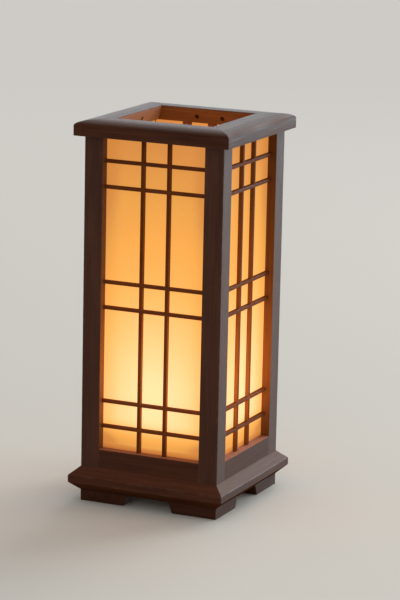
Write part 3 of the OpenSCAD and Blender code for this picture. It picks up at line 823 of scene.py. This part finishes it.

# %% [markdown]
# ## Feet, deck and cleats
#
# The feet are brackets with slanted ends, bored for their screws. Cuts and bores meet in ways that
# a carried section can't follow, so these pieces are copies of the CAD solids too: the loose
# triangles are merged, flat neighbours are joined, and the edges are softened. The feet are
# coloured darker than the frame, which paints the shade that falls on them under the moulding.
# The deck is plywood, whose edge shows its layers, and the cleats are raw.

# %% Feet, deck and cleats
def plywood():
    """Pale plywood: a veneer with its grain along x, and layers that alternate up the edge."""
    finish = Finish("deck_plywood", Specular_IOR_Level=0.35)
    upward = finish.axis(2, finish.node("ShaderNodeTexCoord", output="Normal"))
    face = finish.step(abs(upward), 0.6, 0.8)
    layer = finish.step(finish.maths("PINGPONG", finish.axis(2), 1.5 * mm), 0.6 * mm, 0.9 * mm)
    streaks = finish.step(finish.noise(1.6 * mm, (26, 1, 1), 4), 0.3, 0.7)
    edge = finish.mix(layer, linear(150, 112, 74), linear(196, 160, 116))
    veneer = finish.mix(streaks, linear(176, 138, 92), linear(204, 170, 124))
    return finish.paint(finish.mix(face, edge, veneer), 0.55 + streaks * 0.1, streaks, 0.03 * mm)


for number, corner in enumerate(CORNERS):
    copy_of(f"foot_{corner}", "cut", foot_wood[number % 2], 0.35 * mm)
copy_of("deck_board", "sawn", plywood(), 0.25 * mm)
copy_of("deck_cleats", "sawn", raw_wood, 0.3 * mm)
deck_low, deck_high = corners_of("deck_board")
print("deck, from and to, mm:", in_mm([deck_low, deck_high]))

# %% [markdown]
# ## Screws
#
# Four countersunk screws hold the deck, with cross recesses, and four slotted ones hold the feet.
# A cross recess is a hollow of two arms. On a disc of rings and spokes its depth is the greater of
# two arms, |y| small or |x| small, faded towards the rim, so the head is one more surface of two
# parameters. The slotted screws are plain enough to copy from the CAD.

# %% Screws
screw_low, screw_high = corners_of("deck_screws")


def cross_screw(head, shank, length, spokes=48):
    """A countersunk screw, head up at the origin: the head's rings sink by the cross's depth."""
    arm_w, cross_depth, tip_h = 0.22 * mm, 0.9 * mm, 2 * mm
    r = np.linspace(0.03, 1, 14)[:, None] * head
    angle = np.linspace(0, 2 * math.pi, spokes, endpoint=False)[None]
    x, y = r * np.cos(angle), r * np.sin(angle)
    arms = np.maximum(*(np.clip(1.6 - np.abs(v) / arm_w, 0, 1) for v in (x, y)))
    sunk = cross_depth * arms * np.clip((0.72 * head - r) / (0.16 * head), 0, 1)
    top = np.stack([x, y, -sunk], axis=-1)
    below = np.array([(head, -0.15 * mm), (shank, -(head - shank)), (shank, -length + tip_h),
                      (0.1 * mm, -length)])
    rest = np.stack([below[:, :1] * np.cos(angle), below[:, :1] * np.sin(angle),
                     np.broadcast_to(below[:, 1:], (4, spokes))], axis=-1)
    return solid_of(np.concatenate([top, rest]))


screw_head, screw_shank = 2.5 * mm, 1.4 * mm
screw_middle = (abs(screw_low[1]) + screw_high[1]) / 2 - screw_head
screw = cross_screw(screw_head, screw_shank, screw_high[2] - screw_low[2])
screws = [screw.moved((0, -screw_middle, deck_high[2])).side(n) for n in range(4)]
show("deck_screws", "turned", screws, zinc_steel)
copy_of("foot_screws", "slotted", zinc_steel, 0.12 * mm)
print("deck screws stand off the middle by, mm:", in_mm(screw_middle))

# %% [markdown]
# ## The cord inlet
#
# A hollow threaded nipple runs through the deck into the lampholder, a nut pulls it tight, and a
# rubber bushing lines its bore where a cord would enter. The thread is a ridge that climbs one
# pitch for each turn. The nut's outline is the hexagon r = f / cos(angle from the nearest flat),
# cut back to a cone at its top and bottom, as a machined nut is.

# %% Nipple, nut and bushing
def thread(pitch, depth, low, high, inner=0.0):
    """Adds a ridge to the outside radius: depth * (cos(2 pi (z / pitch - a / 2 pi)) - 1) / 2."""
    def change(r, z, angle):
        wave = (np.cos(2 * math.pi * z / pitch - angle) - 1) / 2
        return depth * wave * window(z, low, high, pitch / 2) * (r > inner)
    return change


nipple_r, z_low, z_high = span("threaded_nipple")
nipple_bore, chamfer = 3.8 * mm, 0.5 * mm
outside = dense([(nipple_r, z_low + chamfer), (nipple_r, z_high - chamfer)], 0.2 * mm)
nipple = np.vstack([[(nipple_bore, z_low), (nipple_r - chamfer, z_low)], outside,
                    [(nipple_r - chamfer, z_high), (nipple_bore, z_high)]])
nipple_thread = thread(1 * mm, 0.45 * mm, z_low, z_high, 4.6 * mm)
show("threaded_nipple", "cut", [turned(nipple, True, 48, nipple_thread)], brass)

nut_low, nut_high = corners_of("nipple_nut")
flat, nut_bore = min(nut_high[0], nut_high[1]), nipple_r + 0.05 * mm


def hexagon(r, z, angle):
    """What a hexagon's radius adds to a circle of the flats' radius, held under a cone."""
    off = np.mod(angle, math.pi / 3) - math.pi / 6
    wide = flat / np.cos(off)
    edge = np.minimum(z - nut_low[2], nut_high[2] - z)
    return np.where(r > flat * 0.9, np.minimum(wide, flat * 1.02 + 2.2 * edge) - r, 0)


levels = np.linspace(nut_low[2], nut_high[2], 9)
nut = np.vstack([[(nut_bore, nut_low[2])], np.column_stack([np.full(len(levels), flat), levels]),
                 [(nut_bore, nut_high[2])]])
show("nipple_nut", "cut", [turned(nut, True, 96, hexagon)], brass)

flange_r, z_low, z_high = span("cord_bushing")
bush_r, cord_r, flange_top = 3.745 * mm, 3.25 * mm, z_low + 1.5 * mm
bushing, _ = soften([(cord_r, z_low), (flange_r, z_low), (flange_r, flange_top),
                     (bush_r, flange_top), (bush_r, z_high), (cord_r, z_high)],
                    np.array([0.15, 0.4, 0.3, 0, 0.1, 0.1]) * mm, rim=0.05 * mm)
show("cord_bushing", "moulded", [turned(bushing, True)], rubber)
print("nut across flats, mm:", in_mm(2 * flat))

# %% [markdown]
# ## The lampholder
#
# The holder is a moulded cup with a broad foot. Its wall has shallow flutes for grip, which are a
# change of radius that depends on the angle, faded out towards the ends of the wall. Inside sit a
# rolled screw shell and a centre contact.

# %% Lampholder, shell and contact
foot_r, z_low, z_high = span("lampholder_body")
shell_r, floor_z, shell_top = span("lampholder_shell")
holder_r, play = 13.5 * mm, 0.055 * mm
foot_top, bore_top = z_low + 5 * mm, z_low + 8 * mm
socket_r, hole_r = shell_r + play, nipple_r + play
cup, _ = soften([(hole_r, z_low), (foot_r, z_low), (foot_r, foot_top), (holder_r, foot_top + 1 * mm),
                 (holder_r, z_high), (socket_r, z_high), (socket_r, floor_z), (nipple_bore, floor_z),
                 (nipple_bore, bore_top), (hole_r, bore_top)],
                np.array([0, 0.4, 1.0, 0.5, 1.0, 0.4, 0, 0, 0, 0]) * mm, rim=0.2 * mm)


def flutes(count, depth, low, high, inner):
    """A change of radius: `count` hollows round the wall, from low to high."""
    def change(r, z, angle):
        hollow = depth * (np.cos(count * angle) - 1) / 2
        return hollow * window(z, low, high, 1.5 * mm) * (r > inner)
    return change


cup = dense(np.vstack([cup, cup[:1]]), 1.2 * mm)[:-1]
grip = flutes(36, 0.5 * mm, foot_top + 4 * mm, z_high - 4 * mm, 12 * mm)
show("lampholder_body", "moulded", [turned(cup, True, 144, grip)], black_plastic)

pitch = 2.82 * mm
sleeve = dense([(shell_r, floor_z), (shell_r, shell_top)], 0.35 * mm)
shell = np.vstack([sleeve, sleeve[::-1] - [0.25 * mm, 0]])
shell_thread = thread(pitch, 0.3 * mm, floor_z, shell_top)
show("lampholder_shell", "rolled", [turned(shell, True, 64, shell_thread)], brass)

plate_r, z_low, z_high = span("lampholder_contact")
plate_top, stud_r, on_axis = z_low + 1 * mm, 3 * mm, 0.05 * mm
contact = [(on_axis, z_low), (plate_r, z_low), (plate_r, plate_top - 0.2 * mm),
           (plate_r - 0.2 * mm, plate_top), (stud_r, plate_top), (stud_r, z_high - 0.7 * mm),
           (stud_r - 0.3 * mm, z_high - 0.2 * mm), (stud_r - 1 * mm, z_high), (on_axis, z_high)]
show("lampholder_contact", "turned", [turned(contact)], brass)
print("socket, mm:", in_mm(2 * socket_r))

# %% [markdown]
# ## The bulb's base
#
# The base has a solder contact, a black glass insulator and a rolled screw cap, whose thread has
# the pitch of a real one. The lamp's one motion is to unscrew this bulb: these three ride on the
# body that slides, and the housing and the globe on the one that turns.

# %% Contact, insulator and screw cap
tip_r, z_low, z_high = span("bulb_contact")
quarter = np.linspace(0.02, 1, 8) * math.pi / 2
bead = np.column_stack([tip_r * np.sin(quarter), z_low + 0.8 * mm * (1 - np.cos(quarter))])
tip = np.vstack([bead, [(tip_r, z_high), (on_axis, z_high)]])
show("bulb_contact", "soldered", [turned(tip, around=32)], nickel_steel, "bulb_cap")

glass_r, z_low, z_high = span("bulb_insulator")
glass_profile = [(on_axis, z_low), (tip_r + 1 * mm, z_low), (glass_r, z_high), (on_axis, z_high)]
show("bulb_insulator", "pressed", [turned(glass_profile)], black_glass, "bulb_cap")

cap_r, z_low, z_high = span("bulb_screw_cap")
ridge, near_axis = 0.6 * mm, 0.1 * mm
root = cap_r - ridge
wall = dense([(cap_r, z_low + 0.6 * mm), (cap_r, z_high - 1.6 * mm)], 0.3 * mm)
rolled = np.vstack([[(near_axis, z_low), (root - 0.6 * mm, z_low), (root, z_low + 0.4 * mm)], wall,
                    [(root, z_high - 1.2 * mm), (root, z_high - 0.3 * mm), (root + 0.3 * mm, z_high),
                     (near_axis, z_high)]])
cap_thread = thread(pitch, ridge, z_low - pitch, z_high, root + 0.1 * mm)
show("bulb_screw_cap", "rolled", [turned(rolled, False, 72, cap_thread)], nickel_steel, "bulb_cap")
print("turns of thread on the cap:", round((z_high - z_low) / pitch, 1))

# %% [markdown]
# ## Housing and globe
#
# The housing is white plastic that flares out to the globe, and its ribs make the turn visible.
# The frosted globe is a thin shell: one arc outside and one inside, turned together. It gives
# light of its own, by height: warm at its neck, palest round the middle and dimmer at the top.

# %% Housing and globe
rim_r, z_low, z_high = span("bulb_housing")
neck_r, neck_top = 9.5 * mm, z_low + 4 * mm
quarter = np.linspace(0, math.pi / 2, 25)[1:]
flare = np.column_stack([neck_r + (rim_r - neck_r) * np.sin(quarter),
                         neck_top + (z_high - neck_top) * (1 - np.cos(quarter))])
neck = [(near_axis, z_low), (neck_r - 0.5 * mm, z_low), (neck_r - 0.1 * mm, z_low + 0.1 * mm),
        (neck_r, z_low + 0.5 * mm), (neck_r, neck_top)]
housing = np.vstack([neck, flare, [(near_axis, z_high)]])
ribs = flutes(24, 0.8 * mm, z_low + 2 * mm, z_high - 6 * mm, neck_r - 0.05 * mm)
show("bulb_housing", "ribbed", [turned(housing, False, 144, ribs)], white_plastic, "bulb")

frosted = cloudy("frosted_globe", 0.8 * mm, 4, (linear(236, 224, 200), linear(246, 238, 222)),
                 0.4, 0.2, 0.02 * mm, 0.4)
frosted.feed(frosted.shader.inputs["Emission Strength"], 1.0)
height = frosted.axis(2)
core = frosted.step(height, 0.078, 0.100) * (1 - 0.45 * frosted.step(height, 0.102, 0.1215))
globe_glow = frosted.mix(core, (0.38, 0.15, 0.06), (0.80, 0.37, 0.25))
frosted.feed(frosted.shader.inputs["Emission Color"], globe_glow)

globe_r, z_low, z_high = span("bulb_globe")
inner_r, pole = globe_r - 1 * mm, math.pi / 2 - 0.015
globe_z = z_high - globe_r
mouth = z_low - globe_z


def arc(r, first, last):
    """Points of a circle about the globe's middle, (r cos t, middle + r sin t)."""
    t = np.linspace(first, last, 40)
    return np.column_stack([r * np.cos(t), globe_z + r * np.sin(t)])


globe = np.vstack([arc(globe_r, pole, math.asin(mouth / globe_r)),
                   arc(inner_r, math.asin(mouth / inner_r), pole)])
show("bulb_globe", "blown", [turned(globe)], frosted, "bulb")
print("globe and the height of its middle, mm:", in_mm([2 * globe_r, globe_z]))

# %% [markdown]
# ## The floor
#
# The studio is plain: a pale floor and a pale surround. A real studio hides its horizon with a
# curved sheet. Here the floor fades into the surround with its distance from the lamp, and only
# for the camera, so that the light it throws back on the lamp stays that of a floor.

# %% Floor
SURROUND = linear(206, 203, 198)
floor_reach = 6.0
floor_corners = np.array([(-1, -1, 0), (1, -1, 0), (1, 1, 0), (-1, 1, 0)]) * floor_reach
floor_mesh = bpy.data.meshes.new("floor")
floor_mesh.from_pydata(floor_corners.tolist(), [], [(0, 1, 2, 3)])
floor = bpy.data.objects.new("floor", floor_mesh)
floor_colour = (*linear(208, 203, 194), 1)
matt = Finish("floor_matt", Base_Color=floor_colour, Roughness=0.75, Specular_IOR_Level=0.3)
off_middle = matt.node("ShaderNodeVectorMath", {"operation": "LENGTH"}, {0: matt.place()}, "Value")
seen = matt.node("ShaderNodeLightPath", output="Is Camera Ray")
plain_floor = Value(matt, matt.shader.outputs[0])
distance_glow = matt.node("ShaderNodeEmission", None, {"Color": (*SURROUND, 1)})
faded = matt.node("ShaderNodeMixShader", None, {
    0: matt.step(off_middle, 0.5, 2.6) * seen, 1: plain_floor, 2: distance_glow})
matt.feed(matt.tree.nodes["Material Output"].inputs["Surface"], faded)
floor_mesh.materials.append(matt.material)
link(floor)
print("floor reaches, m:", floor_reach)

# %% [markdown]
# ## The light
#
# A lamp's power is worked out from the level that it gives a surface that faces it, 1 being the
# level at which a colour renders as it is written. For an area light at distance d that is
# P = level * pi^2 * d^2. The daylight comes from behind: a broad sky without gloss, a high window
# for the sheen on the cap's top, and a low, bluer one for the right faces. A small warm lamp in
# the opening stands for the light that the bulb throws up on the cap's inner faces. The surround
# that the camera, gloss and glass see comes from Light Path, apart from the world's even light.

# %% Lamps
def soft_lamp(name, toward, distance, size, level, colour):
    """A soft lamp, `size` wide and high, in a direction from the lantern and turned to face it."""
    light = bpy.data.lights.new(name, "AREA")
    light.shape, light.color = "RECTANGLE", colour
    light.size, light.size_y = size
    light.energy = level * math.pi ** 2 * distance ** 2
    lamp = bpy.data.objects.new(name, light)
    middle = Vector((0, 0, 0.15))
    lamp.location = middle + Vector(toward).normalized() * distance
    lamp.rotation_mode = "QUATERNION"
    lamp.rotation_quaternion = (middle - lamp.location).to_track_quat("-Z", "Y")
    lamp.visible_camera = False
    link(lamp)
    return lamp


sky = soft_lamp("sky", (0.15, 0.90, 0.38), 8.0, (7.2, 5.4), 0.30, (0.88, 0.96, 1.0))
sky.visible_glossy = False
soft_lamp("window", (0.19, 0.89, 0.52), 8.0, (5.8, 2.8), 0.39, (0.97, 0.95, 0.95))
soft_lamp("low_window", (0.48, 0.87, 0.03), 7.0, (3.8, 2.8), 0.95, (0.62, 0.87, 1.0))
soft_lamp("side", (0.93, 0.25, 0.28), 6.0, (3.0, 3.0), 0.22, (0.97, 0.98, 1.0))
soft_lamp("fill", (0.10, -0.95, 0.30), 2.6, (1.6, 1.6), 0.10, (1.0, 0.97, 0.93))

inside = bpy.data.lights.new("inside", "POINT")
inside.shadow_soft_size, inside.color = 0.02, (1.0, 0.42, 0.14)
inside.energy = 0.04
inside_lamp = bpy.data.objects.new("inside", inside)
inside_lamp.location = (0, 0, 0.280)
inside_lamp.visible_camera = inside_lamp.visible_glossy = False
link(inside_lamp)

# %% World
world = bpy.data.worlds.new("studio")
bpy.context.scene.world = world
world.use_nodes = True
studio = Graph(world.node_tree)
studio.tree.nodes.clear()
by_camera, through_glass, by_gloss = (studio.node("ShaderNodeLightPath", output=name) for name in (
    "Is Camera Ray", "Is Transmission Ray", "Is Glossy Ray"))
behind = studio.axis(1, studio.node("ShaderNodeTexCoord", output="Generated"))
backdrop = studio.mix(studio.step(behind, -0.1, 0.6), linear(52, 50, 48), linear(207, 202, 200))
colour = studio.mix(by_gloss, (0.55, 0.55, 0.55), backdrop)
colour = studio.mix(studio.maths("MAXIMUM", by_camera, through_glass), colour, SURROUND)
light = studio.node("ShaderNodeBackground", None, {"Color": colour, "Strength": 1.0})
studio.node("ShaderNodeOutputWorld", None, {"Surface": light}, None)
bpy.context.scene.view_settings.view_transform = "Standard"
print("nodes in the world:", len(studio.tree.nodes))
